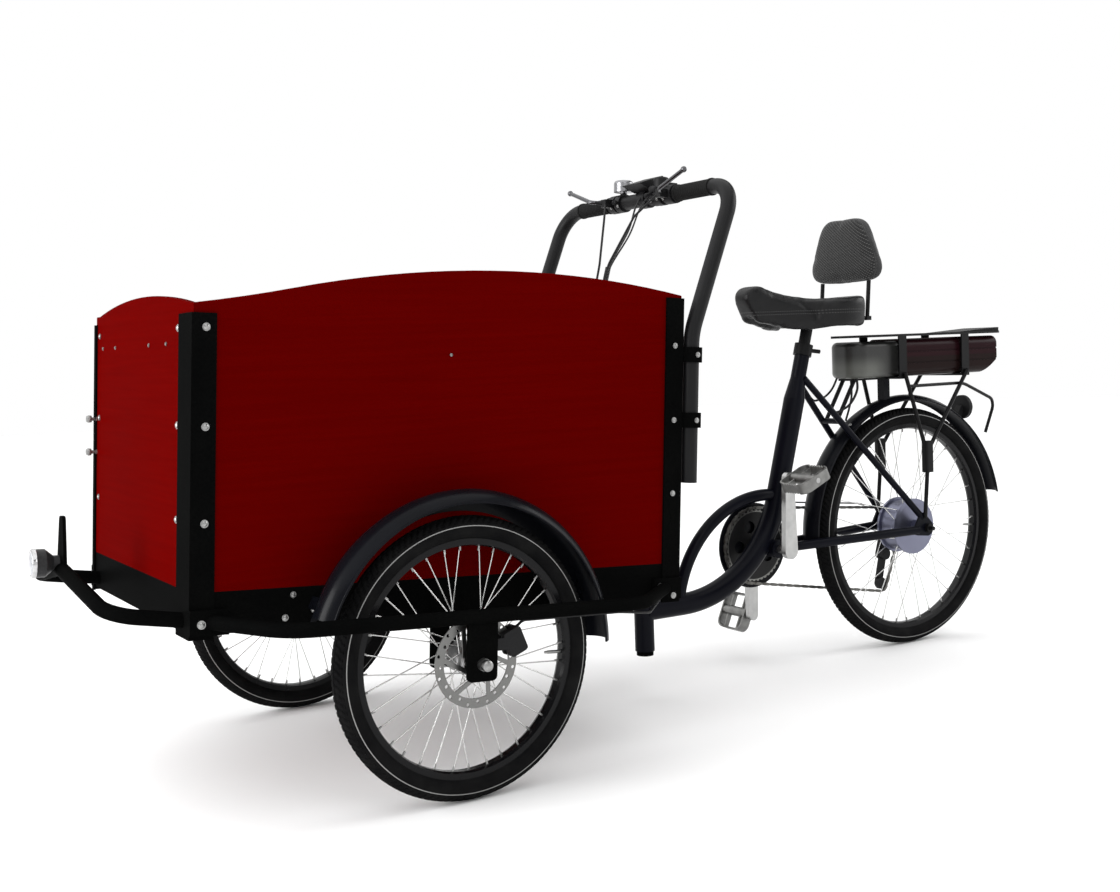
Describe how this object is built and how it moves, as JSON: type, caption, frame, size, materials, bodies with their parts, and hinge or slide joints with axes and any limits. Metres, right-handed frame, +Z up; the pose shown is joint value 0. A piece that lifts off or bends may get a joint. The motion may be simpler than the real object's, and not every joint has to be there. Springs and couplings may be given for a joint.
{
  "type": "electric cargo tricycle",
  "caption": "Front-box electric cargo tricycle: red plywood load box steered on spoked wheels, bent-tube rear frame, saddle with backrest, and a rack battery over the rear wheel.",
  "frame": {"origin": "on the floor under the middle of the vehicle's overall length and width", "axes": "+X forward along the vehicle, +Y to the rider's left, +Z up"},
  "size_m": [2.4657, 0.948, 1.1588],
  "materials": {
    "red_plywood": "glossy varnish over red-stained plywood",
    "floor_plywood": "satin varnish",
    "black_paint": "gloss powder coat",
    "black_plastic": "satin",
    "tyre_rubber": "matt with a pale sidewall line",
    "spoked_steel": "black rim, bright spokes",
    "bright_steel": "bright",
    "alloy": "polished",
    "saddle_cover": "smooth synthetic leather",
    "pad_fabric": "woven mesh",
    "battery_case": "gloss",
    "lamp_plastic": "gloss",
    "grip_rubber": "matt",
    "cable_sheath": "satin"
  },
  "bodies": {
    "frame": {"main_tube": "black_paint", "brace_tube": "black_paint", "chainstays": "black_paint", "seat_stays": "black_paint", "rear_axle": "bright_steel", "seat_post": "black_paint", "saddle": "saddle_cover", "saddle_frame": "black_paint", "backrest": "pad_fabric", "rack_deck": "black_paint", "rack_legs": "black_paint", "guard_hoop": "black_paint", "battery": "battery_case", "controller": "black_plastic", "rear_mudguard": "black_plastic", "tail_lamp": "lamp_plastic", "chain": "bright_steel", "rear_mech": "black_plastic", "chain_cover": "black_plastic"},
    "box_unit": {"side_panel_left": "red_plywood", "side_panel_right": "red_plywood", "front_panel": "red_plywood", "rear_panel": "red_plywood", "box_floor": "floor_plywood", "base_rails": "black_paint", "base_crossmembers": "black_paint", "corner_posts_front": "black_paint", "corner_posts_rear": "black_paint", "outer_rails": "black_paint", "axle_plates": "black_paint", "front_axles": "bright_steel", "brake_calipers": "black_plastic", "front_mudguards": "black_plastic", "bumper": "black_paint", "headlamp": "lamp_plastic", "handlebar": "black_paint", "handlebar_clamps": "black_paint", "grips": "grip_rubber", "handlebar_controls": "black_plastic", "control_cables": "cable_sheath", "steering_yoke": "black_paint"},
    "left_wheel": {"tyre_left": "tyre_rubber", "wheel_left": "spoked_steel", "rotor_left": "bright_steel"},
    "right_wheel": {"tyre_right": "tyre_rubber", "wheel_right": "spoked_steel", "rotor_right": "bright_steel"},
    "rear_wheel": {"tyre_rear": "tyre_rubber", "wheel_rear": "spoked_steel", "cassette": "bright_steel"},
    "crankset": {"cranks": "alloy", "chainring": "bright_steel", "guard_disc": "black_plastic"},
    "left_pedal": {"pedal_left": "alloy"},
    "right_pedal": {"pedal_right": "alloy"}
  },
  "joints": [
    {"name": "steering", "type": "hinge", "parent": "frame", "child": "box_unit", "pos_m": [-0.07632, 0, 0.1635], "axis": [0, 0, 1], "range_deg": [-40, 40]},
    {"name": "left_wheel_spin", "type": "hinge", "parent": "box_unit", "child": "left_wheel", "pos_m": [0.59368, 0.397, 0.25], "axis": [0, 1, 0], "continuous": true},
    {"name": "right_wheel_spin", "type": "hinge", "parent": "box_unit", "child": "right_wheel", "pos_m": [0.59368, -0.397, 0.25], "axis": [0, 1, 0], "continuous": true},
    {"name": "rear_wheel_spin", "type": "hinge", "parent": "frame", "child": "rear_wheel", "pos_m": [-0.90432, 0, 0.3], "axis": [0, 1, 0], "continuous": true},
    {"name": "crank_spin", "type": "hinge", "parent": "frame", "child": "crankset", "pos_m": [-0.45032, 0, 0.29], "axis": [0, 1, 0], "continuous": true},
    {"name": "left_pedal_spin", "type": "hinge", "parent": "crankset", "child": "left_pedal", "pos_m": [-0.45032, 0.129, 0.462], "axis": [0, 1, 0], "continuous": true},
    {"name": "right_pedal_spin", "type": "hinge", "parent": "crankset", "child": "right_pedal", "pos_m": [-0.45032, -0.129, 0.118], "axis": [0, 1, 0], "continuous": true}
  ]
}
